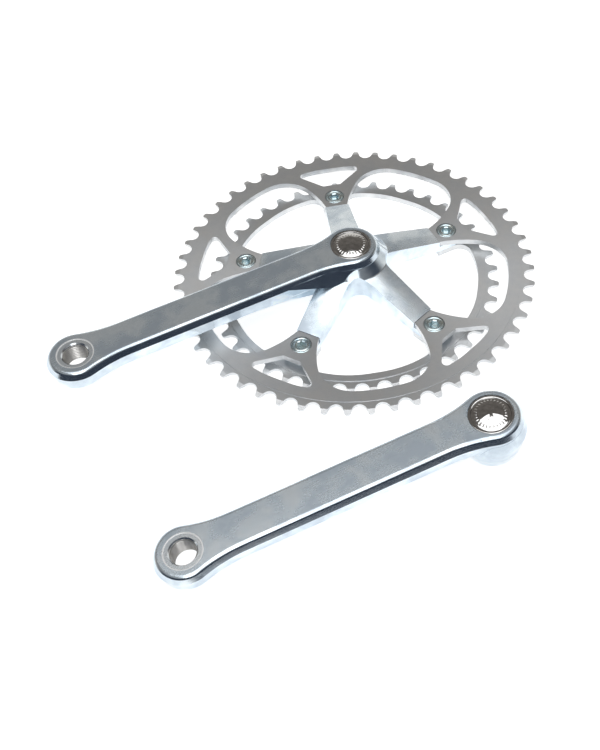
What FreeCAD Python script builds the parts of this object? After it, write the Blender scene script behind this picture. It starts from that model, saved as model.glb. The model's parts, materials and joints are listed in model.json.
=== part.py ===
import FreeCAD, Part
import math
import os
import Sketcher
from FreeCAD import Placement, Rotation, Vector

# Bicycle crankset, drive side lying on its chainring nuts and the loose left arm in front of it.
# The origin is on the spindle axis at the mouth of the right arm's spindle socket. +Z is the spindle
# axis and points outwards, the right arm points along -X, and one chainring bolt lies along +X.

doc = FreeCAD.newDocument("bicycle_crankset")

# ---------------------------------------------------------------------------
# Driving dimensions, in millimetres and degrees
# ---------------------------------------------------------------------------
DIMENSIONS = {
    # whole crankset
    "crank_length": 170.0,
    "table_height": -5.5,
    "chain_pitch": 12.7,
    # arm, seen from the outside
    "boss_top_radius": 15.1,
    "boss_depth": 27.5,
    "arm_half_width": 10.0,
    "eye_radius": 14.5,
    "arm_blend_radius": 80.0,
    "arm_rise": 1.9,
    "arm_upper_depth": 3.9,
    "arm_lower_depth": 8.9,
    "arm_draft": 28.0,
    "arm_back_draft": 8.0,
    "arm_top_edge": 2.5,
    "arm_lower_edge": 2.2,
    # boss recess, spindle socket and pedal hole
    "cap_seat_radius": 12.1,
    "cap_seat_depth": 1.3,
    "recess_radius": 11.0,
    "recess_depth": 9.8,
    "bolt_passage_radius": 4.3,
    "socket_depth": 15.5,
    "socket_width": 13.4,
    "socket_taper": 2.0,
    "pedal_hole_radius": 7.15,
    "pedal_seat_radius": 10.2,
    "pedal_seat_depth": 0.35,
    # spider
    "bolt_count": 5.0,
    "bolt_circle_radius": 65.0,
    "bolt_clear_radius": 5.05,
    "spider_half_width": 7.4,
    "spider_root_half_width": 8.4,
    "spider_root_radius": 27.0,
    "spider_seam_radius": 56.2,
    "spider_end_radius": 74.0,
    "spider_slope": 17.1,
    "spider_tab_depth": 4.0,
    "crotch_radius": 8.0,
    # chainrings
    "outer_face_height": 7.0,
    "outer_teeth": 52.0,
    "outer_thickness": 3.5,
    "outer_window_radius": 92.2,
    "outer_step_radius": 99.4,
    "inner_teeth": 42.0,
    "inner_thickness": 3.8,
    "inner_band_radius": 74.8,
    "inner_step_radius": 79.3,
    "tooth_thickness": 2.1,
    "tooth_addendum": 2.2,
    "tooth_step": 0.35,
    "seat_radius": 4.15,
    # fasteners
    "head_radius": 5.9,
    "head_depth": 1.8,
    "nut_flange_radius": 6.0,
    "nut_flange_depth": 2.2,
    "cap_radius": 11.9,
    "cap_dome": 1.2,
}

sheet = doc.addObject("Spreadsheet::Sheet", "dims")
for row, (alias, value) in enumerate(DIMENSIONS.items(), start=1):
    sheet.set("A%d" % row, alias)
    sheet.set("B%d" % row, str(value))
    sheet.setAlias("B%d" % row, alias)
doc.recompute()


def dim(alias):
    return float(sheet.get(alias))


def measure(expression):
    """The value of an expression on the sheet."""
    return float(sheet.evalExpression(expression.replace("dims.", "")))


def pitch_radius(teeth):
    return dim("chain_pitch") / (2 * math.sin(math.pi / teeth))


def polar_point(radius, degrees):
    angle = math.radians(degrees)
    return (radius * math.cos(angle), radius * math.sin(angle))


def turned(point, degrees):
    angle = math.radians(degrees)
    x, y = point
    return (x * math.cos(angle) - y * math.sin(angle), x * math.sin(angle) + y * math.cos(angle))


def mirrored(points):
    """The same points across the X axis, in the opposite order."""
    return [(x, -y) for x, y in reversed(points)]


# ---------------------------------------------------------------------------
# Bodies, sketches and features
# ---------------------------------------------------------------------------
def new_body(label, placement=None):
    body = doc.addObject("PartDesign::Body", label)
    body.Label = label
    if placement:
        body.Placement = placement
    return body


def origin_feature(body, role):
    return next(feature for feature in body.Origin.OriginFeatures if feature.Role == role)


def new_sketch(body, name, role="XY_Plane", height="0"):
    """A sketch on one of the body's origin planes, raised along the plane's normal."""
    sketch = body.newObject("Sketcher::SketchObject", name)
    sketch.AttachmentSupport = [(origin_feature(body, role), "")]
    sketch.MapMode = "FlatFace"
    sketch.setExpression("AttachmentOffset.Base.z", height)
    return sketch


def drive(sketch, name, constraint, expression):
    """Add a named dimension to a sketch and bind it to the spreadsheet."""
    index = sketch.addConstraint(constraint)
    sketch.renameConstraint(index, name)
    sketch.setExpression("Constraints." + name, expression)


def circle(sketch, radius, centre=(0.0, 0.0), name=None):
    """A circle; radius is an expression on the sheet."""
    value = measure(radius)
    index = sketch.addGeometry(Part.Circle(Vector(*centre, 0), Vector(0, 0, 1), value), False)
    if centre == (0.0, 0.0):
        sketch.addConstraint(Sketcher.Constraint("Coincident", index, 3, -1, 1))
    else:
        drive(sketch, (name or "hole") + "_x", Sketcher.Constraint("DistanceX", -1, 1, index, 3, centre[0]),
              "%.6f" % centre[0])
        drive(sketch, (name or "hole") + "_y", Sketcher.Constraint("DistanceY", -1, 1, index, 3, centre[1]),
              "%.6f" % centre[1])
    drive(sketch, (name or "hole") + "_radius", Sketcher.Constraint("Radius", index, value), radius)


def outline(sketch, start, steps):
    """A closed loop. A step is the next point, or (point on the way, end point) for an arc."""
    pen = Vector(*start, 0)
    ends = []
    for step in steps:
        if isinstance(step[0], tuple):
            through, end = Vector(*step[0], 0), Vector(*step[1], 0)
            index = sketch.addGeometry(Part.Arc(pen, through, end), False)
        else:
            end = Vector(*step, 0)
            index = sketch.addGeometry(Part.LineSegment(pen, end), False)
        forward = sketch.getPoint(index, 1).distanceToPoint(pen) < 1e-6
        ends.append((index, 1 if forward else 2, 2 if forward else 1))
        pen = end
    for (index, _, last), (following, first, _) in zip(ends, ends[1:] + ends[:1]):
        sketch.addConstraint(Sketcher.Constraint("Coincident", index, last, following, first))


def rounded(corners):
    """Start and steps of a polygon; each corner is (x, y) or (x, y, radius)."""
    start, steps = None, []
    count = len(corners)
    for number, corner in enumerate(corners):
        here = Vector(corner[0], corner[1], 0)
        radius = corner[2] if len(corner) > 2 else 0.0
        if radius:
            before = Vector(corners[number - 1][0], corners[number - 1][1], 0) - here
            after = Vector(corners[(number + 1) % count][0], corners[(number + 1) % count][1], 0) - here
            before.normalize()
            after.normalize()
            half = before.getAngle(after) / 2
            reach = radius / math.tan(half)
            bisector = (before + after).normalize()
            first = here + before * reach
            middle = here + bisector * (radius / math.sin(half) - radius)
            last = here + after * reach
            if start is None:
                start = (first.x, first.y)
            else:
                steps.append((first.x, first.y))
            steps.append(((middle.x, middle.y), (last.x, last.y)))
        elif start is None:
            start = (here.x, here.y)
        else:
            steps.append((here.x, here.y))
    steps.append(start)
    return start, steps


def volume_of(body):
    doc.recompute()
    return body.Shape.Volume if body.Shape and not body.Shape.isNull() else 0.0


def pad(body, sketch, name, length, taper=None, reverse=False):
    feature = body.newObject("PartDesign::Pad", name)
    feature.Profile = sketch
    feature.setExpression("Length", length)
    feature.Reversed = reverse
    if taper:
        feature.setExpression("TaperAngle", taper)
    doc.recompute()


def cut(body, sketch, name, length, reverse=False, taper=None):
    """A pocket that must take material away."""
    before = volume_of(body)
    feature = body.newObject("PartDesign::Pocket", name)
    feature.Profile = sketch
    feature.setExpression("Length", length)
    feature.Reversed = reverse
    if taper:
        feature.setExpression("TaperAngle", taper)
    if volume_of(body) >= before:
        raise RuntimeError(name + " cuts nothing")
    return feature


def revolve(body, sketch, name):
    feature = body.newObject("PartDesign::Revolution", name)
    feature.Profile = sketch
    feature.ReferenceAxis = (sketch, ["V_Axis"])
    feature.Angle = 360.0
    doc.recompute()


def around(body, features, name, count):
    """Repeat features evenly around the spindle axis."""
    pattern = body.newObject("PartDesign::PolarPattern", name)
    pattern.Originals = features
    pattern.Axis = (origin_feature(body, "Z_Axis"), [""])
    pattern.Angle = 360.0
    pattern.setExpression("Occurrences", count)
    body.Tip = pattern
    doc.recompute()


def edges_where(shape, wanted):
    """Names of the edges whose every sampled point passes the test."""
    names = []
    for number, edge in enumerate(shape.Edges, start=1):
        first, last = edge.ParameterRange
        samples = [edge.valueAt(first + (last - first) * step / 6) for step in range(7)]
        if all(wanted(point) for point in samples):
            names.append("Edge%d" % number)
    return names


def dress(body, kind, name, wanted, size):
    """A Fillet or Chamfer on the edges of the tip that pass the test."""
    base = body.Tip
    names = edges_where(base.Shape, wanted)
    if not names:
        raise RuntimeError(name + " found no edges")
    feature = body.newObject("PartDesign::" + kind, name)
    feature.Base = (base, names)
    feature.setExpression("Radius" if kind == "Fillet" else "Size", size)
    doc.recompute()


def loft(body, sketches, name):
    """Flat-sided solid through sections."""
    feature = body.newObject("PartDesign::AdditiveLoft", name)
    feature.Profile = sketches[0]
    feature.Sections = sketches[1:]
    feature.Ruled = True
    doc.recompute()


# ---------------------------------------------------------------------------
# Chainrings
# ---------------------------------------------------------------------------
def ring_blank(body, teeth, face, thickness, hole_radius, step_radius, tooth_top):
    """Revolved blank: a flat band and, outside the step, a thinner rim bevelled towards the tips."""
    tip = pitch_radius(teeth) + dim("tooth_addendum")
    bevel_reach, bevel_depth = 2.9, 0.45
    tooth_bottom = tooth_top - dim("tooth_thickness")
    section = new_sketch(body, body.Label + "_section", "XZ_Plane")
    outline(section, *rounded([
        (hole_radius, face), (step_radius, face), (step_radius, tooth_top),
        (tip - bevel_reach, tooth_top), (tip, tooth_top - bevel_depth),
        (tip, tooth_bottom + bevel_depth), (tip - bevel_reach, tooth_bottom),
        (step_radius + 1.0, tooth_bottom), (step_radius, face - thickness), (hole_radius, face - thickness)]))
    revolve(body, section, body.Label + "_blank")


def tooth_gaps(body, teeth, phase, teeth_expression):
    """One roller seat with straight flanks, repeated between all the teeth."""
    centre = pitch_radius(teeth)
    seat = dim("seat_radius")
    seat_end, flank_lean = 108.0, 18.0
    tip = centre + dim("tooth_addendum")
    beyond = tip + 1.0
    end_x = centre + seat * math.cos(math.radians(seat_end))
    end_y = seat * math.sin(math.radians(seat_end))
    corner_x = tip - 0.8
    corner_y = end_y + (corner_x - end_x) * math.tan(math.radians(flank_lean))
    mouth_y = corner_y + 0.8
    side = [(end_x, end_y), (corner_x, corner_y), (tip + 0.02, mouth_y), (beyond, mouth_y)]
    half_pitch = 180.0 / teeth
    gap = new_sketch(body, body.Label + "_gap", height="dims.table_height - 1")
    turn = phase + half_pitch
    upper = [turned(point, turn) for point in side]
    lower = [turned((x, -y), turn) for x, y in side]
    bottom = turned((centre - seat, 0.0), turn)
    outline(gap, lower[0], [(bottom, upper[0])] + upper[1:] + list(reversed(lower)))
    feature = cut(body, gap, body.Label + "_first_gap", "20", reverse=True)
    around(body, [feature], body.Label + "_teeth", teeth_expression)


def outer_chainring():
    body = new_body("outer_chainring")
    face = dim("outer_face_height")
    seam = dim("spider_seam_radius") + 0.15
    ring_blank(body, dim("outer_teeth"), face, dim("outer_thickness"), seam - 3.0,
               dim("outer_step_radius"), face - dim("tooth_step"))

    # the tabs end on the five sides of a pentagon
    centre_hole = new_sketch(body, "outer_centre_hole", height="dims.table_height")
    corner = seam / math.cos(math.radians(36))
    outline(centre_hole, *rounded([polar_point(corner, 36 + 72 * side) for side in range(5)]))
    cut(body, centre_hole, "outer_centre_cut", "30", reverse=True)

    # five wide scallops between the bolts, drawn about the +X axis and turned half way to a bolt
    limit = dim("outer_window_radius")
    lobe_radius, lobe_angle, side_radius, side_reach = 20.0, 9.2, 63.5, 23.0
    centre_x, centre_y = polar_point(limit - lobe_radius, lobe_angle)
    lobe_side = (centre_x, centre_y + lobe_radius)
    lobe_top = polar_point(limit, lobe_angle)
    half_turn = math.radians((90 + lobe_angle) / 2)
    lobe_middle = (centre_x + lobe_radius * math.cos(half_turn), centre_y + lobe_radius * math.sin(half_turn))
    side_centre_y = lobe_side[1] - side_radius

    def on_side(reach):
        return (centre_x - reach, side_centre_y + math.sqrt(side_radius ** 2 - reach ** 2))

    turn = 36.0
    upper = [turned(point, turn) for point in (on_side(side_reach), on_side(side_reach / 2), lobe_side,
                                               lobe_middle, lobe_top)]
    lower = [turned((x, -y), turn) for x, y in (on_side(side_reach), on_side(side_reach / 2), lobe_side,
                                                lobe_middle, lobe_top)]
    scallop = new_sketch(body, "outer_scallop", height="dims.table_height")
    outline(scallop, lower[0], [(lower[1], lower[2]), (lower[3], lower[4]),
                                (turned((limit, 0.0), turn), upper[4]), (upper[3], upper[2]),
                                (upper[1], upper[0]), lower[0]])
    scallop_cut = cut(body, scallop, "outer_scallop_cut", "30", reverse=True)
    around(body, [scallop_cut], "outer_scallops", "dims.bolt_count")

    # five three-cornered windows outside the bolts
    window_inner_radius, window_inner_angle, window_angle, corner_radius = 76.3, 4.2, 13.6, 2.6
    inner = polar_point(window_inner_radius, window_inner_angle)
    far = polar_point(limit, window_angle)
    bulge = limit / math.cos(math.radians(window_angle / 2))
    shoulder = polar_point(bulge, window_angle / 2)
    window = new_sketch(body, "outer_window", height="dims.table_height")
    outline(window, *rounded([
        (inner[0], -inner[1], 1.5), (far[0], -far[1], corner_radius), (shoulder[0], -shoulder[1], 50.0),
        (shoulder[0], shoulder[1], 50.0), (far[0], far[1], corner_radius), (inner[0], inner[1], 1.5)]))
    window_cut = cut(body, window, "outer_window_cut", "30", reverse=True)
    around(body, [window_cut], "outer_windows", "dims.bolt_count")

    bolt_holes(body, "outer", "dims.outer_face_height", "dims.head_depth + 0.1", "dims.head_radius + 0.15",
               from_above=True)
    tooth_gaps(body, dim("outer_teeth"), -1.4, "dims.outer_teeth")
    return body


def bolt_holes(body, prefix, face, depth, radius, from_above):
    """Five clear holes with a counterbore on one face."""
    centre = (dim("bolt_circle_radius"), 0.0)
    counterbore = new_sketch(body, prefix + "_counterbore", height=face)
    circle(counterbore, radius, centre, "counterbore")
    counterbore_cut = cut(body, counterbore, prefix + "_counterbore_cut", depth, reverse=not from_above)
    around(body, [counterbore_cut], prefix + "_counterbores", "dims.bolt_count")
    hole = new_sketch(body, prefix + "_bolt_hole", height="dims.table_height")
    circle(hole, "dims.bolt_clear_radius", centre, "bolt")
    hole_cut = cut(body, hole, prefix + "_bolt_hole_cut", "30", reverse=True)
    around(body, [hole_cut], prefix + "_bolt_holes", "dims.bolt_count")


def inner_chainring():
    body = new_body("inner_chainring")
    face = dim("outer_face_height") - dim("outer_thickness") - dim("spider_tab_depth")
    tab_end = dim("bolt_circle_radius") - 8.8
    ring_blank(body, dim("inner_teeth"), face, dim("inner_thickness"), tab_end,
               dim("inner_step_radius"), face - 0.5)

    # five gaps between the tabs, drawn about the +X axis and turned half way to a bolt
    band = dim("inner_band_radius")
    tab_half_width = 7.3
    turn = 36.0
    tab_side = [turned((radius, -tab_half_width), turn) for radius in (tab_end - 4.0, 71.5)]
    reach = 25.0
    top = polar_point(band, reach)
    crown = band / math.cos(math.radians(reach / 2))
    shoulder = polar_point(crown, reach / 2)
    side = [(tab_side[0][0], tab_side[0][1]), (tab_side[1][0], tab_side[1][1], 7.0), (top[0], top[1], 5.0),
            (shoulder[0], shoulder[1], 60.0)]
    lower = [(x, -y) + tuple(rest) for x, y, *rest in reversed(side)]
    corners = [turned(corner[:2], turn) + tuple(corner[2:]) for corner in side + lower]
    gap = new_sketch(body, "inner_gap", height="dims.table_height")
    outline(gap, *rounded(corners))
    gap_cut = cut(body, gap, "inner_gap_cut", "30", reverse=True)
    around(body, [gap_cut], "inner_gaps", "dims.bolt_count")

    back = "dims.outer_face_height - dims.outer_thickness - dims.spider_tab_depth - dims.inner_thickness"
    bolt_holes(body, "inner", back, "1.2", "dims.nut_flange_radius + 0.15", from_above=False)
    tooth_gaps(body, dim("inner_teeth"), 1.55, "dims.inner_teeth")
    return body


# ---------------------------------------------------------------------------
# Crank arms
# ---------------------------------------------------------------------------
def arm_slope():
    return math.degrees(math.atan2(dim("arm_rise"), dim("crank_length")))


def arm_plan(body, name, depth, grow):
    """Arm outline in a plane parallel to the outer face and depth below it, larger all round by grow."""
    boss = dim("boss_top_radius") - 0.3 + grow
    half = dim("arm_half_width") + grow
    eye = dim("eye_radius") + grow
    blend = dim("arm_blend_radius") - grow
    length = dim("crank_length")
    blend_y = half + blend
    boss_blend_x = -math.sqrt((boss + blend) ** 2 - blend_y ** 2)
    eye_blend_x = math.sqrt((eye + blend) ** 2 - blend_y ** 2) - length

    def blend_steps(centre_x, round_x, round_radius):
        share = round_radius / (round_radius + blend)
        on_round = (round_x + (centre_x - round_x) * share, blend_y * share)
        on_side = (centre_x, half)
        start = math.atan2(on_round[1] - blend_y, on_round[0] - centre_x)
        finish = math.atan2(half - blend_y, 0.0)
        middle = (start + finish) / 2
        return on_round, (centre_x + blend * math.cos(middle), blend_y + blend * math.sin(middle)), on_side

    boss_round, boss_middle, boss_side = blend_steps(boss_blend_x, 0.0, boss)
    eye_round, eye_middle, eye_side = blend_steps(eye_blend_x, -length, eye)

    def below(point):
        return (point[0], -point[1])

    sketch = new_sketch(body, name, height="dims.boss_depth - " + depth)
    sketch.AttachmentOffset = Placement(sketch.AttachmentOffset.Base, Rotation(Vector(0, 1, 0), arm_slope()))
    outline(sketch, below(boss_round), [
        ((boss, 0.0), boss_round), (boss_middle, boss_side), eye_side, (eye_middle, eye_round),
        ((-length - eye, 0.0), below(eye_round)), (below(eye_middle), below(eye_side)),
        below(boss_side), (below(boss_middle), below(boss_round))])
    return sketch


def top_plane(x):
    """Height of the arm's outer face over a point of the X axis."""
    return dim("boss_depth") - x * dim("arm_rise") / dim("crank_length")


def arm_bar(body):
    """The arm, drafted both ways from its parting plane, with both rims rounded."""
    grow = dim("arm_upper_depth") * math.tan(math.radians(dim("arm_draft")))
    upper = arm_plan(body, body.Label + "_parting", "dims.arm_upper_depth", grow)
    pad(body, upper, body.Label + "_upper", "dims.arm_upper_depth", "-dims.arm_draft")
    lower = arm_plan(body, body.Label + "_parting_lower", "dims.arm_upper_depth", grow)
    pad(body, lower, body.Label + "_lower", "dims.arm_lower_depth", "-dims.arm_back_draft", reverse=True)
    depth = dim("arm_upper_depth") + dim("arm_lower_depth")

    def on_top(point):
        return abs(point.z - top_plane(point.x)) < 0.02

    def on_back(point):
        return abs(point.z - (top_plane(point.x) - depth)) < 0.02

    dress(body, "Fillet", body.Label + "_top_round", on_top, "dims.arm_top_edge")
    dress(body, "Fillet", body.Label + "_back_round", on_back, "dims.arm_lower_edge")


def arm_holes(body):
    """Cap seat, extractor recess, bolt passage, square taper and the pedal hole."""
    top = dim("boss_depth")
    for name, radius, depth in (
        ("cap_seat", "dims.cap_seat_radius", "dims.cap_seat_depth"),
        ("recess", "dims.recess_radius", "dims.recess_depth"),
        ("passage", "dims.bolt_passage_radius", "dims.boss_depth - dims.socket_depth + 1"),
    ):
        sketch = new_sketch(body, "%s_%s" % (body.Label, name), height="dims.boss_depth + 2")
        circle(sketch, radius, name=name)
        cut(body, sketch, "%s_%s_cut" % (body.Label, name), depth + " + 2")
    half = dim("socket_width") / 2
    socket = new_sketch(body, body.Label + "_socket")
    outline(socket, *rounded([(half, -half, 1.0), (half, half, 1.0), (-half, half, 1.0), (-half, -half, 1.0)]))
    cut(body, socket, body.Label + "_socket_cut", "dims.socket_depth", reverse=True, taper="-dims.socket_taper")

    pedal = (-dim("crank_length"), 0.0)
    seat_height = "dims.boss_depth + dims.arm_rise - dims.pedal_seat_depth"
    seat = new_sketch(body, body.Label + "_pedal_seat", height=seat_height + " + 4")
    circle(seat, "dims.pedal_seat_radius", pedal, "seat")
    cut(body, seat, body.Label + "_pedal_seat_cut", "4")
    hole = new_sketch(body, body.Label + "_pedal_hole", height=seat_height + " + 4")
    circle(hole, "dims.pedal_hole_radius", pedal, "pedal")
    cut(body, hole, body.Label + "_pedal_hole_cut", "40")
    seat_z = measure(seat_height)

    def at_mouth(point):
        away = math.hypot(point.x - pedal[0], point.y)
        return abs(point.z - seat_z) < 0.01 and abs(away - dim("pedal_hole_radius")) < 0.01

    dress(body, "Chamfer", body.Label + "_pedal_chamfer", at_mouth, "0.7")


def spider():
    """Flared boss and five dished arms; it is joined to the right arm."""
    body = new_body("spider")
    face = dim("outer_face_height")
    seam = dim("spider_seam_radius")
    end = dim("spider_end_radius")
    back = face - dim("outer_thickness") - dim("spider_tab_depth")
    slope = math.tan(math.radians(dim("spider_slope")))
    flare_radius, flare_top_radius = 21.7, dim("boss_top_radius") - 0.6
    section = new_sketch(body, "dish_section", "XZ_Plane")
    outline(section, *rounded([
        (0.0, 0.0), (14.0, 0.0, 1.0), (14.5, 5.5, 3.0), (24.0, 5.0, 10.0), (seam + 1.0, back), (end, back),
        (end, face), (seam + 1.0, face), (flare_radius, face + (seam + 1.0 - flare_radius) * slope, 1.2),
        (flare_top_radius, dim("boss_depth") - 1.8), (0.0, dim("boss_depth") - 1.8)]))
    revolve(body, section, "dish")

    # five crotches, drawn about the +X axis and turned half way to an arm
    tab_half, tip_half = dim("spider_half_width"), 6.4
    lean = (dim("spider_root_half_width") - tab_half) / (seam - dim("spider_root_radius"))
    half_angle = math.radians(36.0)
    vertex = (tab_half + seam * lean) / (math.sin(half_angle) + lean * math.cos(half_angle))
    side = [turned(point, 36.0) for point in ((seam, -tab_half), (end - 7.0, -tab_half), (end + 1.0, -tip_half),
                                              (end + 14.0, -tip_half))]
    corners = [(vertex, 0.0, dim("crotch_radius"))] + side + mirrored(side)
    crotch = new_sketch(body, "crotch", height="dims.table_height")
    outline(crotch, *rounded([turned(corner[:2], 36.0) + tuple(corner[2:]) for corner in reversed(corners)]))
    crotch_cut = cut(body, crotch, "crotch_cut", "dims.boss_depth - dims.table_height + 5", reverse=True)
    around(body, [crotch_cut], "crotches", "dims.bolt_count")

    # the step that the outer chainring's tab lies in, and the bolt hole
    step = new_sketch(body, "tab_step", height="dims.outer_face_height - dims.outer_thickness")
    outline(step, *rounded([(seam, -14.0), (end + 4.0, -14.0), (end + 4.0, 14.0), (seam, 14.0)]))
    step_cut = cut(body, step, "tab_step_cut", "8", reverse=True)
    around(body, [step_cut], "tab_steps", "dims.bolt_count")
    hole = new_sketch(body, "spider_hole", height="dims.table_height")
    circle(hole, "dims.bolt_clear_radius", (dim("bolt_circle_radius"), 0.0), "bolt")
    hole_cut = cut(body, hole, "spider_hole_cut", "30", reverse=True)
    around(body, [hole_cut], "spider_holes", "dims.bolt_count")
    return body


def right_crank_arm():
    """Arm, boss and spider in one forging."""
    body = new_body("right_crank_arm")
    arm_bar(body)
    join = body.newObject("PartDesign::Boolean", "spider_join")
    join.Type = "Fuse"
    join.setObjects([spider()])
    body.Tip = join
    doc.recompute()

    # wedge-shaped web that carries the arm's root down to the spider
    web_half_width, nose = 9.0, -98.0
    web = new_sketch(body, "web", "XZ_Plane", height="-%.2f" % web_half_width)
    arm_back = dim("arm_upper_depth") + dim("arm_lower_depth")
    outline(web, *rounded([(-5.0, 6.0), (-5.0, 18.0), (nose, top_plane(nose) - arm_back + 2.0),
                           (nose, top_plane(nose) - arm_back + 0.4), (-50.0, 13.2, 60.0), (-28.0, 8.5)]))
    pad(body, web, "web_pad", "%.2f" % (2 * web_half_width))
    arm_root(body)
    arm_holes(body)
    return body


def arm_root(body):
    """The arm's drafted sides, deepened towards the boss until they meet the spider."""
    lean = math.tan(math.radians(dim("arm_draft")))
    start, inset = 2.8, 0.02
    sections = []
    # place along the arm, half width at the outer face, depth of the lower edge
    for x, half, depth in ((-46.0, 10.0, 4.0), (-22.0, 10.35, 10.6), (-13.0, 11.75, 9.9), (-4.0, 14.1, 9.3)):
        top = top_plane(x)
        section = new_sketch(body, "root_section_%d" % -x, "YZ_Plane", height="%.1f" % x)
        upper, lower = half + start * lean - inset, half + depth * lean - inset
        outline(section, *rounded([(-lower, top - depth), (lower, top - depth),
                                   (upper, top - start), (-upper, top - start)]))
        sections.append(section)
    loft(body, sections, "arm_root")


def left_crank_arm(placement):
    """The same arm with a round boss that is widest at half its depth."""
    body = new_body("left_crank_arm", placement)
    arm_bar(body)
    section = new_sketch(body, "left_boss_section", "XZ_Plane")
    shoulder_height = dim("boss_depth") - 1.8
    outline(section, *rounded([(0.0, 0.0), (14.6, 0.0, 1.5), (17.3, 8.5, 30.0), (18.4, 15.5, 2.5),
                               (14.6, shoulder_height), (0.0, shoulder_height)]))
    revolve(body, section, "left_boss")
    arm_holes(body)
    return body


# ---------------------------------------------------------------------------
# Fasteners and caps
# ---------------------------------------------------------------------------
def turned_piece(label, corners, placement):
    body = new_body(label, placement)
    section = new_sketch(body, label + "_section", "XZ_Plane")
    outline(section, *rounded(corners))
    revolve(body, section, label + "_turning")
    return body


def hexagon(across_flats):
    return [polar_point(across_flats / 2 / math.cos(math.radians(30)), 60 * side) for side in range(6)]


def chainring_bolt(label, placement):
    """Flat-headed sleeve bolt; its head's outer face is at z = 0."""
    head, depth = dim("head_radius"), dim("head_depth")
    shank, reach = 3.95, 8.6
    body = turned_piece(label, [(0, 0), (head, 0, 0.35), (head, -depth), (shank, -depth),
                                (shank, -reach, 0.4), (0, -reach)], placement)
    socket = new_sketch(body, label + "_socket")
    outline(socket, *rounded(hexagon(5.0)))
    cut(body, socket, label + "_socket_cut", "4.2")
    return body


def chainring_nut(label, placement):
    """Sleeve nut; its flange's back is at z = 0 and its sleeve points up."""
    flange, depth = dim("nut_flange_radius"), dim("nut_flange_depth")
    sleeve, bore, reach = 4.95, 4.0, 9.6
    body = turned_piece(label, [(bore, 0), (flange, 0, 0.4), (flange, depth), (sleeve, depth),
                                (sleeve, reach), (bore, reach)], placement)
    slot = new_sketch(body, label + "_slot")
    outline(slot, *rounded([(-flange - 1, -0.8), (flange + 1, -0.8), (flange + 1, 0.8), (-flange - 1, 0.8)]))
    cut(body, slot, label + "_slot_cut", "0.9", reverse=True)
    return body


def dust_cap(label, placement):
    """Domed push-in cap; z = 0 is the boss's outer face."""
    radius, dome, seat = dim("cap_radius"), dim("cap_dome"), dim("cap_seat_depth") - 0.1
    skirt, skirt_depth, wall, rim, crown = 10.7, 5.0, 0.9, 0.1, 1.0
    body = new_body(label, placement)
    section = new_sketch(body, label + "_section", "XZ_Plane")
    inner_dome = dome - wall
    outline(section, (0.0, inner_dome), [
        (crown, inner_dome), ((5.0, inner_dome - 0.25), (skirt - wall, inner_dome - 1.0)),
        (skirt - wall, -skirt_depth), (skirt, -skirt_depth), (skirt, -seat), (radius, -seat), (radius, -rim),
        ((radius * 0.55, dome - 0.36), (crown, dome)), (0.0, dome), (0.0, inner_dome)])
    revolve(body, section, label + "_turning")
    return body


def fixing_bolt(label, placement):
    """M8 flanged bolt with a 14 mm hexagon; z = 0 is under the flange."""
    flange, thickness, shank, reach, height = 8.6, 1.6, 3.95, 15.0, 6.4
    body = turned_piece(label, [(0, -reach), (shank, -reach, 0.6), (shank, 0), (flange, 0, 0.3),
                                (flange, thickness), (0, thickness)], placement)
    head = new_sketch(body, label + "_head", height="%.3f" % thickness)
    outline(head, *rounded(hexagon(14.0)))
    pad(body, head, label + "_hexagon", "%.3f" % (height - thickness))
    return body


def fixing_washer(label, placement):
    return turned_piece(label, [(4.3, 0), (9.4, 0, 0.25), (9.4, 1.2, 0.25), (4.3, 1.2)], placement)


# ---------------------------------------------------------------------------
# Assembly
# ---------------------------------------------------------------------------
def side_fittings(side, frame):
    """Cap, fixing bolt and washer of one arm, placed in the arm's frame."""
    ledge = dim("boss_depth") - dim("recess_depth")

    def at(height):
        return frame.multiply(Placement(Vector(0, 0, height), Rotation()))

    return [
        dust_cap(side + "_dust_cap", at(dim("boss_depth"))),
        fixing_washer(side + "_fixing_washer", at(ledge + 0.05)),
        fixing_bolt(side + "_fixing_bolt", at(ledge + 1.35)),
    ]


def left_placement():
    """The left arm rests on its boss's edge and on the rim of its pedal eye."""
    boss_edge, eye_back = 14.2, dim("arm_upper_depth") + dim("arm_lower_depth") - dim("arm_rise")
    eye_reach = dim("crank_length") + 13.4
    tilt = math.atan2(dim("boss_depth") - eye_back, eye_reach - boss_edge)
    lift = boss_edge * math.sin(tilt)
    heading = -3.7
    turn = Rotation(Vector(0, 0, 1), heading).multiply(Rotation(Vector(0, 1, 0), -math.degrees(tilt)))
    cap_centre = (6.6, -140.6)
    boss_axis = turn.multVec(Vector(0, 0, dim("boss_depth")))
    return Placement(Vector(cap_centre[0] - boss_axis.x, cap_centre[1] - boss_axis.y,
                            dim("table_height") + lift + 0.05), turn)


parts = [right_crank_arm(), outer_chainring(), inner_chainring()]
for number in range(int(dim("bolt_count"))):
    turn = 72.0 * number
    x, y = polar_point(dim("bolt_circle_radius"), turn)
    spin = Rotation(Vector(0, 0, 1), turn)
    head_face = dim("outer_face_height") - 0.1
    parts.append(chainring_bolt("chainring_bolt_%d" % (number + 1), Placement(Vector(x, y, head_face), spin)))
    parts.append(chainring_nut("chainring_nut_%d" % (number + 1),
                               Placement(Vector(x, y, dim("table_height")), spin)))
parts += side_fittings("right", Placement())
left_frame = left_placement()
parts.append(left_crank_arm(left_frame))
parts += side_fittings("left", left_frame)
doc.recompute()

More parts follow.
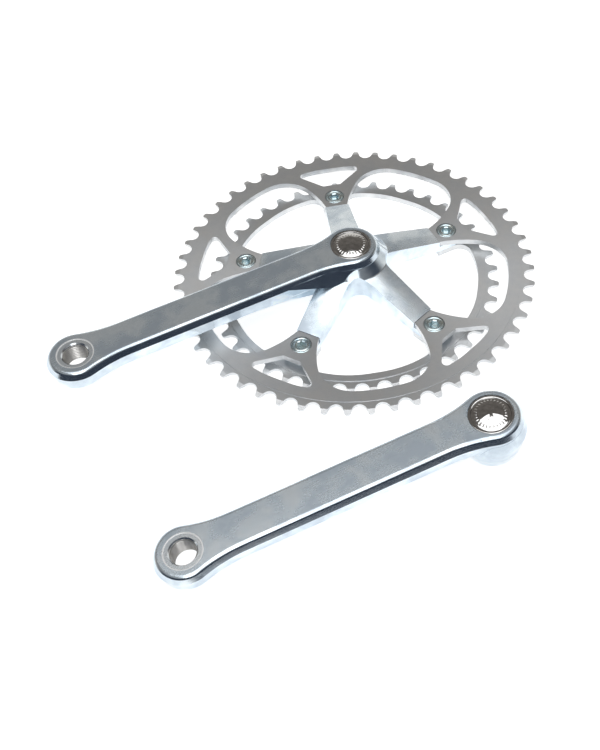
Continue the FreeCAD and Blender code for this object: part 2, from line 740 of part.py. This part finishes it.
# ---------------------------------------------------------------------------
# Check and export
# ---------------------------------------------------------------------------
for thing in doc.Objects:
    if {"Invalid", "Error"} & set(thing.State):
        raise RuntimeError("%s is %s" % (thing.Label, thing.State))
os.makedirs("parts", exist_ok=True)
for part in parts:
    if part.Shape.isNull() or not part.Shape.isValid() or len(part.Shape.Solids) != 1:
        raise RuntimeError(part.Label + " is not one valid solid")
    part.Shape.exportStep("parts/%s.step" % part.Label)
    box = part.Shape.BoundBox
    print("%-20s %8.0f mm3  x %7.1f %7.1f  y %7.1f %7.1f  z %6.2f %6.2f" % (
        part.Label, part.Shape.Volume, box.XMin, box.XMax, box.YMin, box.YMax, box.ZMin, box.ZMax))
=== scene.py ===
import json
import math

import bmesh
import bpy
from mathutils import Euler, Matrix, Vector


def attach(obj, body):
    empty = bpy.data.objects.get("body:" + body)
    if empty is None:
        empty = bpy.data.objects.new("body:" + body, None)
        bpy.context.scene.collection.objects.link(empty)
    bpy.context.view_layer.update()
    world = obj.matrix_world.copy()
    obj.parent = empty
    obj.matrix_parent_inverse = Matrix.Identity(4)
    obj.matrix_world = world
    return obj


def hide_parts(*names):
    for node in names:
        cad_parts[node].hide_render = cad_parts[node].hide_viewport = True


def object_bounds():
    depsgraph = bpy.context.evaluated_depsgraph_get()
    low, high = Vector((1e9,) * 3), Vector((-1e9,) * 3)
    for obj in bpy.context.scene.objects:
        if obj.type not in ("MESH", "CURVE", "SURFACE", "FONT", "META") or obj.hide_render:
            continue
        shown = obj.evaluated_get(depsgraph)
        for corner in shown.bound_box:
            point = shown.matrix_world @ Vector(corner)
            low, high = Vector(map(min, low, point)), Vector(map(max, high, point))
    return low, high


# Looks of the bicycle crankset: polished arms, turned satin chainrings, zinc-plated bolts,
# chromed caps and threaded pedal holes, on a white table under a soft overhead light.
# Sizes of the parts are in millimetres and become metres with MM; all else is in metres.

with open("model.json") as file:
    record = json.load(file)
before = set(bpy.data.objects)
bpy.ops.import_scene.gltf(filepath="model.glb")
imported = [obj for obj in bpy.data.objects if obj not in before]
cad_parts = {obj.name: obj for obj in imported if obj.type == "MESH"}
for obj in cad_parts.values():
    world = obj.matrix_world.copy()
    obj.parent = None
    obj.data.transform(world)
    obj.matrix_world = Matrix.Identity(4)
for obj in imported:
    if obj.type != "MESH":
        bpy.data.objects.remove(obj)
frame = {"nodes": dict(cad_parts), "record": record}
cad_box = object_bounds()

MM = 0.001
CRANK_LENGTH = 170.0
BOSS_DEPTH = 27.5
PEDAL_SEAT_RADIUS = 10.2
BOLT_CIRCLE_RADIUS = 65.0
BOLT_COUNT = 5

TURNED_LINES = 5200.0
SHARP_ANGLE = math.radians(35)


# ---------------------------------------------------------------------------
# Node trees
# ---------------------------------------------------------------------------
class Tree:
    """A node tree built by calls; inputs are numbers, colours or other nodes' outputs."""

    def __init__(self, tree):
        self.tree = tree
        tree.nodes.clear()

    def add(self, kind, inputs=None, output=0, **settings):
        """A new node's output, by number or name; an output node has none."""
        node = self.tree.nodes.new("ShaderNode" + kind)
        for name, value in settings.items():
            setattr(node, name, value)
        for name, value in (inputs or {}).items():
            self.put(node.inputs[name], value)
        return node.outputs[output] if len(node.outputs) else None

    def put(self, socket, value):
        if isinstance(value, bpy.types.NodeSocket):
            self.tree.links.new(value, socket)
        elif socket.type == "RGBA" and len(value) == 3:
            socket.default_value = (*value, 1.0)
        else:
            socket.default_value = value

    def place(self):
        """The point of the surface, in metres of the shared frame."""
        return self.add("TexCoord", output="Object")

    def math(self, operation, a, b):
        return self.add("Math", {0: a, 1: b}, operation=operation)

    def vector(self, operation, a, b=(0.0, 0.0, 0.0), output="Vector"):
        return self.add("VectorMath", {0: a, 1: b}, output=output, operation=operation)

    def between(self, value, low, high, to_low=0.0, to_high=1.0):
        """value carried from low..high to to_low..to_high, held at both ends."""
        return self.add("MapRange", {"Value": value, "From Min": low, "From Max": high,
                                     "To Min": to_low, "To Max": to_high})

    def mix(self, factor, a, b):
        """Colour a carried towards colour b; inputs 6 and 7 and output 2 are the node's colours."""
        return self.add("Mix", {0: factor, 6: a, 7: b}, output=2, data_type="RGBA")

    def noise(self, vector, scale, detail=2.0, rough=0.5, distortion=0.0):
        """Cloudy noise from 0 to 1, with scale in features to the metre."""
        return self.add("TexNoise", {"Vector": vector, "Scale": scale, "Detail": detail,
                                     "Roughness": rough, "Distortion": distortion})

    def turned(self, radius, detail, rough=0.5):
        """Noise that changes only with the radius, as a lathe tool leaves it."""
        along = self.math("MULTIPLY", radius, TURNED_LINES)
        return self.add("TexNoise", {"W": along, "Scale": 1.0, "Detail": detail, "Roughness": rough},
                        noise_dimensions="1D")

    def ramp(self, factor, stops):
        """Colours or grey levels blended between stops of (place, level)."""
        node = self.tree.nodes.new("ShaderNodeValToRGB")
        elements = node.color_ramp.elements
        for number, (place, level) in enumerate(stops):
            element = elements[number] if number < len(elements) else elements.new(place)
            element.position = place
            rgb = level if isinstance(level, tuple) else (level, level, level)
            element.color = (*rgb, 1.0)
        self.put(node.inputs[0], factor)
        return node.outputs[0]

    def bump(self, height, distance, strength, normal=None):
        """A normal tilted by a height that is worth so many metres."""
        inputs = {"Height": height, "Distance": distance, "Strength": strength}
        if normal is not None:
            inputs["Normal"] = normal
        return self.add("Bump", inputs)


# ---------------------------------------------------------------------------
# Places of the arms, from the record's mounts
# ---------------------------------------------------------------------------
def arm_frame(side):
    """An arm's own frame: z along the boss from the spindle's side, x away from the pedal."""
    mounts = {mount["name"]: mount for mount in frame["record"]["mounts"]}
    socket = mounts[side + "_spindle_socket"]
    axis = -Vector(socket["axis"]).normalized()
    base = Vector(socket["pos_m"])
    to_pedal = Vector(mounts[side + "_pedal_hole"]["pos_m"]) - base
    x_axis = -(to_pedal - axis * to_pedal.dot(axis)).normalized()
    y_axis = axis.cross(x_axis)
    placement = Matrix((x_axis, y_axis, axis)).transposed().to_4x4()
    placement.translation = base
    return placement


def pedal_frame(side):
    """The arm's own frame moved along the arm to the axis of its pedal hole."""
    placement = arm_frame(side)
    placement.translation = placement @ Vector((-CRANK_LENGTH * MM, 0.0, 0.0))
    return placement


# ---------------------------------------------------------------------------
# Materials
# ---------------------------------------------------------------------------
def metal(name, build, **uniform):
    """A metal; build(tree) gives the inputs that vary over the surface, uniform the others."""
    material = bpy.data.materials.new(name)
    material.use_nodes = True
    tree = Tree(material.node_tree)
    inputs = {"Metallic": 1.0}
    inputs.update({key.replace("_", " "): value for key, value in uniform.items()})
    inputs.update(build(tree))
    shader = tree.add("BsdfPrincipled", inputs)
    tree.add("OutputMaterial", {"Surface": shader})
    return material


def pedal_distance(tree, place, side):
    """Distance from the axis of an arm's pedal hole."""
    hole = pedal_frame(side)
    offset = tree.vector("SUBTRACT", place, tuple(hole.translation))
    across = tree.vector("CROSS_PRODUCT", offset, tuple(hole.col[2].to_3d()))
    return tree.vector("LENGTH", across, output="Value")


def pedal_seat(tree, place, color):
    """The colour with the turned seats round the pedal holes, with a painted highlight on their rims, and the
    mask of that painted highlight.
    """
    away = tree.math("MINIMUM", pedal_distance(tree, place, "right"), pedal_distance(tree, place, "left"))
    inside, outside = (PEDAL_SEAT_RADIUS - 0.1) * MM, (PEDAL_SEAT_RADIUS + 0.1) * MM
    seat = tree.between(away, inside, outside, 1.0, 0.0)
    turning = tree.between(tree.turned(away, 2.0), 0.35, 0.65, 0.15, 0.75)
    color = tree.mix(tree.math("MULTIPLY", seat, turning), color, (0.80, 0.81, 0.81))
    # near-white ring along each seat's edge: a painted highlight, not a colour of the metal
    rim_highlight_band = tree.between(away, (PEDAL_SEAT_RADIUS - 1.2) * MM, (PEDAL_SEAT_RADIUS + 1.2) * MM)
    rim = tree.ramp(rim_highlight_band, [(0.30, 0.0), (0.44, 1.0), (0.56, 1.0), (0.72, 0.0)])
    return tree.mix(rim, color, (0.93, 0.94, 0.94)), rim


def arm_finish(tree):
    """Hand-polished forging: cloudy tone, faint polishing lines along X, small pits, pedal seats with a
    painted highlight on their rims.
    """
    dark, middle, light = (0.50, 0.575, 0.65), (0.61, 0.69, 0.755), (0.74, 0.81, 0.86)
    pit_color = (0.30, 0.32, 0.35)
    along_arm = (60.0, 1400.0, 1400.0)

    place = tree.place()
    cloud = tree.noise(place, 55.0, detail=3.0, rough=0.45, distortion=0.4)
    patch = tree.noise(place, 170.0)
    tone = tree.math("ADD", tree.math("MULTIPLY", cloud, 0.75), tree.math("MULTIPLY", patch, 0.25))
    lines = tree.noise(tree.add("Mapping", {"Vector": place, "Scale": along_arm}), 1.0, detail=3.0, rough=0.6)
    pits = tree.between(tree.noise(place, 1800.0, detail=1.0), 0.74, 0.80)
    color = tree.ramp(tone, [(0.40, dark), (0.5, middle), (0.60, light)])
    color = tree.mix(tree.math("MULTIPLY", pits, 0.2), color, pit_color)
    # pedal seats, whose rims carry a painted highlight
    color, rim = pedal_seat(tree, place, color)

    # flat tops are a little duller than the drafted walls and the rounded edges
    rise = tree.add("SeparateXYZ", {0: tree.add("TexCoord", output="Normal")}, output="Z")
    rough = tree.math("MULTIPLY", tree.between(tone, 0.35, 0.65, 1.12, 0.86),
                      tree.between(rise, 0.70, 0.96, 0.13, 0.27))
    rough = tree.math("ADD", rough, tree.between(lines, 0.3, 0.7, -0.01, 0.012))
    polish = tree.between(rise, 0.85, 0.95, 1.0, 0.75)
    # the painted rim highlight is also made less metallic, so that it reads brighter
    polish = tree.math("SUBTRACT", polish, tree.math("MULTIPLY", rim, 0.45))

    normal = tree.bump(cloud, 0.00008, 0.4)
    normal = tree.bump(lines, 0.000005, 0.3, normal)
    normal = tree.bump(pits, -0.00001, 0.3, normal)
    return {"Base Color": color, "Roughness": rough, "Metallic": polish, "Normal": normal}


def ring_finish(tree):
    """Turned and satin anodised plate: fine concentric lines and a soft tonal drift."""
    dark, middle, light = (0.64, 0.665, 0.69), (0.70, 0.72, 0.735), (0.76, 0.77, 0.775)
    line_color = (0.50, 0.505, 0.52)

    place = tree.place()
    radius = tree.vector("LENGTH", tree.vector("MULTIPLY", place, (1.0, 1.0, 0.0)), output="Value")
    lines = tree.turned(radius, 4.0, 0.7)
    cloud = tree.noise(place, 90.0, detail=4.0, rough=0.55)
    grain = tree.noise(place, 4200.0)
    color = tree.ramp(cloud, [(0.32, dark), (0.5, middle), (0.68, light)])
    color = tree.mix(tree.between(lines, 0.35, 0.7, 0.0, 0.30), color, line_color)
    rough = tree.math("ADD", tree.between(cloud, 0.3, 0.7, 0.40, 0.34),
                      tree.between(lines, 0.3, 0.7, -0.03, 0.05))
    normal = tree.bump(lines, 0.00002, 0.35)
    normal = tree.bump(grain, 0.000012, 0.3, normal)
    tangent = tree.add("Tangent", direction_type="RADIAL", axis="Z")
    return {"Base Color": color, "Roughness": rough, "Normal": normal, "Tangent": tangent}


def bolt_finish(tree):
    """Zinc plate with a bluish passivation that drifts towards straw."""
    blue, pale, straw = (0.56, 0.70, 0.77), (0.63, 0.74, 0.77), (0.72, 0.77, 0.74)

    place = tree.place()
    drift = tree.noise(place, 260.0, detail=3.0, rough=0.6)
    grain = tree.noise(place, 3800.0)
    color = tree.ramp(drift, [(0.34, blue), (0.52, pale), (0.7, straw)])
    rough = tree.between(grain, 0.3, 0.7, 0.22, 0.30)
    return {"Base Color": color, "Roughness": rough, "Normal": tree.bump(grain, 0.00001, 0.4)}


def cap_finish(tree):
    """Bright chrome with light handling haze and hairline scratches."""
    dark, light = (0.52, 0.515, 0.51), (0.66, 0.655, 0.65)
    scratch_turn, scratch_scale = (0.0, 0.0, 0.7), (260.0, 5200.0, 2600.0)

    place = tree.place()
    haze = tree.noise(place, 380.0, detail=4.0, rough=0.6)
    stretched = tree.add("Mapping", {"Vector": place, "Rotation": scratch_turn, "Scale": scratch_scale})
    scratches = tree.noise(stretched, 1.0)
    color = tree.ramp(haze, [(0.35, dark), (0.65, light)])
    rough = tree.math("ADD", tree.between(haze, 0.4, 0.7, 0.035, 0.10),
                      tree.between(scratches, 0.6, 0.75, 0.0, 0.08))
    return {"Base Color": color, "Roughness": rough, "Normal": tree.bump(scratches, 0.000004, 0.4)}


def thread_finish(tree):
    """Bare cut aluminium: bright crests, with near-black painted shade in the thread roots."""
    dark, light, painted_root_shade = (0.66, 0.65, 0.635), (0.82, 0.81, 0.79), (0.10, 0.095, 0.09)

    grain = tree.noise(tree.place(), 2400.0, detail=3.0, rough=0.6)
    color = tree.ramp(grain, [(0.35, dark), (0.65, light)])
    # the thread roots are darkened nearly to black: painted shade in the grooves
    root_shade = tree.add("Attribute", output="Fac", attribute_name="thread_root_shade")
    color = tree.mix(tree.between(root_shade, 0.25, 0.95, 0.0, 0.88), color, painted_root_shade)
    return {"Base Color": color, "Roughness": tree.between(grain, 0.3, 0.7, 0.28, 0.40),
            "Normal": tree.bump(grain, 0.000012, 0.4)}


ARM = metal("polished_arm", arm_finish)
RING = metal("turned_ring", ring_finish, Anisotropic=0.55, Metallic=0.85)
BOLT = metal("zinc_bolt", bolt_finish)
CHROME = metal("chrome_cap", cap_finish)
THREAD = metal("cut_thread", thread_finish)


def node_material(node):
    if "crank_arm" in node:
        return ARM
    if node in ("outer_chainring", "inner_chainring"):
        return RING
    return CHROME if "cap" in node else BOLT


for node_name, node_object in frame["nodes"].items():
    for node_slot in node_object.material_slots:
        node_slot.material = node_material(node_name)


# ---------------------------------------------------------------------------
# Pieces made here
# ---------------------------------------------------------------------------
def finish_piece(mesh_data, name, body, material):
    """A smooth-shaded piece from a bmesh, riding on a body."""
    bmesh.ops.recalc_face_normals(mesh_data, faces=mesh_data.faces)
    mesh = bpy.data.meshes.new(name)
    mesh_data.to_mesh(mesh)
    mesh_data.free()
    mesh.materials.append(material)
    piece = bpy.data.objects.new(name, mesh)
    bpy.context.scene.collection.objects.link(piece)
    for polygon in mesh.polygons:
        polygon.use_smooth = True
    mesh.set_sharp_from_angle(angle=SHARP_ANGLE)
    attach(piece, body)
    return piece


def lathe(placement, loops, sides, tube=False):
    """A closed skin through loops, in millimetres of its own frame.

    A loop is a function of the angle that gives (radius, height). The first and the last loop
    are closed by a face each, or joined to each other in a tube.
    """
    data = bmesh.new()
    rings = []
    for loop in loops:
        ring = []
        for side in range(sides):
            angle = 2 * math.pi * side / sides
            radius, height = loop(angle)
            point = Vector((radius * math.cos(angle), radius * math.sin(angle), height)) * MM
            ring.append(data.verts.new(placement @ point))
        rings.append(ring)
    pairs = list(zip(rings, rings[1:]))
    if tube:
        pairs.append((rings[-1], rings[0]))
    for inner, outer in pairs:
        for side in range(sides):
            following = (side + 1) % sides
            data.faces.new((inner[side], inner[following], outer[following], outer[side]))
    if not tube:
        data.faces.new(rings[0])
        data.faces.new(rings[-1])
    return data


def cap(side):
    """Chromed cap: lip, groove and dome with a ring of pips and a five-lobed rosette."""
    radius, rounding, lip = 11.9, 0.4, -0.06
    crown, dome_radius, dome_fall, slope = 1.2, 7.5, 60.0, 0.25
    groove, groove_width, groove_depth = 10.35, 0.25, 0.10
    pips, pip_ring, pip_width, pip_height = 30, 8.0, 0.72, 0.13
    lobes, lobe_ring, lobe_width, lobe_depth = 5, 3.6, 1.9, 0.12
    center, steps, sides = 0.05, 74, 240

    def height(r, angle):
        level = lip
        if r < groove:
            level = crown - min(r, dome_radius) ** 2 / dome_fall - slope * max(0.0, r - dome_radius)
            bar = max(0.0, math.cos(pips * angle)) ** 0.6
            level += pip_height * bar * math.exp(-((r - pip_ring) / pip_width) ** 4)
            lobe = math.cos(lobes / 2 * angle) ** 2
            level -= lobe_depth * lobe * math.exp(-((r - lobe_ring) / lobe_width) ** 2)
        level -= groove_depth * math.exp(-((r - groove) / groove_width) ** 2)
        return level - 0.25 * max(0.0, (r - radius + rounding) / rounding) ** 2

    loops = []
    for step in range(steps + 1):
        r = center + (radius - center) * step / steps
        loops.append(lambda angle, r=r: (r, BOSS_DEPTH + height(r, angle)))
    back = [(radius, -1.2), (10.7, -1.2), (10.7, -5.0), (9.8, -5.0), (9.8, -0.8), (5.0, -0.05), (0.3, 0.1)]
    loops += [lambda angle, r=r, z=z: (r, BOSS_DEPTH + z) for r, z in back]
    data = lathe(arm_frame(side), loops, sides)
    piece = finish_piece(data, side + "_cap_face", side + "_cap", CHROME)
    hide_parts(side + "_dust_cap")


def thread(side, hand):
    """Pedal thread cut in the arm: a thin sleeve with a helical inside."""
    pitch, major, minor, outside = 1.27, 7.12, 6.55, 7.14
    low, high, run_in, run_out = 16.75, 28.3, 0.9, 1.1
    turn_steps, sides = 14, 120
    steps = int((high - low) / pitch * turn_steps)
    placement = pedal_frame(side)

    def ridge(angle, z):
        """1 on the thread's crest, 0 at its root."""
        phase = (z / pitch - hand * angle / (2 * math.pi)) % 1.0
        return min(1.0, max(0.0, 1.15 - abs(2 * phase - 1) * 1.3))

    def inside(angle, z):
        fade = min(1.0, (z - low) / run_in, (high - z) / run_out)
        return major - (major - minor) * ridge(angle, z) * max(0.0, fade)

    loops = [lambda angle: (outside, low)]
    for step in range(steps + 1):
        z = low + (high - low) * step / steps
        loops.append(lambda angle, z=z: (inside(angle, z), z))
    loops.append(lambda angle: (outside, high))
    data = lathe(placement, loops, sides, tube=True)
    body = "drive_side" if side == "right" else "left_side"
    piece = finish_piece(data, side + "_pedal_thread", body, THREAD)
    to_arm = placement.inverted()
    # mask of the thread roots, which the material darkens as painted shade
    root_shade = piece.data.attributes.new("thread_root_shade", "FLOAT", "POINT")
    for number, vertex in enumerate(piece.data.vertices):
        local = to_arm @ vertex.co
        root_shade.data[number].value = 1.0 - ridge(math.atan2(local.y, local.x), local.z / MM)


def chainring_bolt(number):
    """Sleeve bolt with a bevelled rim, a shallow ring groove and a chamfered hexagon socket."""
    name = "chainring_bolt_%d" % number
    face, apothem, chamfer, floor, center, sides = 6.9, 2.5, 0.3, -3.9, 0.05, 72
    turn = 2 * math.pi * (number - 1) / BOLT_COUNT
    placement = Matrix.Rotation(turn, 4, "Z")
    across, along = BOLT_CIRCLE_RADIUS * math.cos(turn), BOLT_CIRCLE_RADIUS * math.sin(turn)
    placement.translation = Vector((across, along, face)) * MM

    def hexagon(angle, inset=0.0):
        sixth = math.pi / 3
        return (apothem - inset) / math.cos((angle + sixth / 2) % sixth - sixth / 2)

    loops = [lambda angle: (center, floor),
             lambda angle: (hexagon(angle, chamfer), floor),
             lambda angle: (hexagon(angle), floor + chamfer),
             lambda angle: (hexagon(angle), -0.42)]
    mouth_and_groove = [(3.15, -0.02), (3.6, -0.01), (4.3, -0.16), (4.6, -0.24), (4.85, -0.10)]
    rim = [(5.1, -0.005), (5.45, -0.005), (5.75, -0.14), (5.89, -0.42), (5.89, -1.79)]
    sleeve = [(3.95, -1.8), (3.95, -8.3), (3.65, -8.59), (center, -8.59)]
    loops += [lambda angle, r=r, z=z: (r, z) for r, z in mouth_and_groove + rim + sleeve]
    data = lathe(placement, loops, sides)
    piece = finish_piece(data, name + "_face", "drive_side", BOLT)
    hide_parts(name)


cap("right")
cap("left")
for bolt_number in range(1, BOLT_COUNT + 1):
    chainring_bolt(bolt_number)
thread("right", 1)
thread("left", -1)


# ---------------------------------------------------------------------------
# Table, light and camera
# ---------------------------------------------------------------------------
def table():
    """White table just under the part; its near edge runs close by, so that the room shows below it."""
    gap = 0.0001
    near_left, near_right, far_right, far_left = (-1.5, 0.377), (1.5, -1.09), (3.0, 3.0), (-3.0, 3.0)
    level = cad_box[0].z - gap
    data = bmesh.new()
    corners = [data.verts.new((x, y, level)) for x, y in (near_left, near_right, far_right, far_left)]
    data.faces.new(corners)
    mesh = bpy.data.meshes.new("table")
    data.to_mesh(mesh)
    data.free()
    mesh.materials.append(table_material())
    floor = bpy.data.objects.new("table", mesh)
    bpy.context.scene.collection.objects.link(floor)


def table_material():
    """Grained white laminate that glows a little, like an overexposed background."""
    material = bpy.data.materials.new("white_table")
    material.use_nodes = True
    tree = Tree(material.node_tree)
    grain = tree.noise(tree.place(), 700.0, detail=3.0, rough=0.6)
    color = tree.ramp(grain, [(0.3, (0.90, 0.90, 0.895)), (0.7, (0.93, 0.93, 0.925))])
    shader = tree.add("BsdfPrincipled", {"Base Color": color, "Roughness": 0.85,
                                         "Emission Color": (1.0, 1.0, 0.995), "Emission Strength": 0.60,
                                         "Normal": tree.bump(grain, 0.00003, 0.3)})
    tree.add("OutputMaterial", {"Surface": shader})
    return material


def overhead_light():
    """A long soft panel in front of the part that faces straight down, turned about the vertical."""
    place, turn = (-0.56, -1.54, 3.60), -20.8
    width, length, radiance = 2.80, 6.06, 2.0
    light = bpy.data.lights.new("overhead", "AREA")
    light.shape = "RECTANGLE"
    light.size, light.size_y = width, length
    light.energy = radiance * math.pi * width * length
    lamp = bpy.data.objects.new("overhead", light)
    lamp.location = place
    lamp.rotation_euler = (0.0, 0.0, math.radians(turn))
    bpy.context.scene.collection.objects.link(lamp)


def surroundings():
    """Studio seen in the metal: pale far wall, dim ceiling, dark room low behind the camera."""
    view_heading = (0.3546, 0.935, 0.0)
    far_stops = [(0.0, (0.92, 0.90, 0.86)), (0.31, (0.90, 0.88, 0.84)), (0.43, (0.19, 0.175, 0.16)),
                 (0.88, (0.14, 0.13, 0.12)), (0.97, 0.5)]
    near_stops = [(0.0, (0.045, 0.055, 0.075)), (0.5, (0.06, 0.07, 0.09)), (0.64, 0.35)]
    world = bpy.data.worlds.new("studio")
    bpy.context.scene.world = world
    world.use_nodes = True
    tree = Tree(world.node_tree)
    direction = tree.add("TexCoord", output="Generated")
    rise = tree.add("SeparateXYZ", {0: direction}, output="Z")
    away = tree.vector("DOT_PRODUCT", direction, view_heading, output="Value")
    far, near = tree.ramp(rise, far_stops), tree.ramp(rise, near_stops)
    glow = tree.add("Background", {"Color": tree.mix(tree.between(away, -0.2, 0.2), near, far),
                                   "Strength": 1.0})
    tree.add("OutputWorld", {"Surface": glow})


def camera():
    """Above and in front of the part, looking down over the near arm."""
    place, turns = (-0.1942, -0.4041, 0.4691), (38.538, 4.235, -26.065)
    data = bpy.data.cameras.new("camera")
    data.sensor_width = 36.0
    data.lens = 51.43
    data.clip_start, data.clip_end = 0.01, 20.0
    eye = bpy.data.objects.new("camera", data)
    eye.location = place
    eye.rotation_euler = Euler([math.radians(turn) for turn in turns], "XYZ")
    bpy.context.scene.collection.objects.link(eye)
    bpy.context.scene.camera = eye


table()
overhead_light()
surroundings()
camera()
bpy.context.scene.view_settings.view_transform = "Standard"
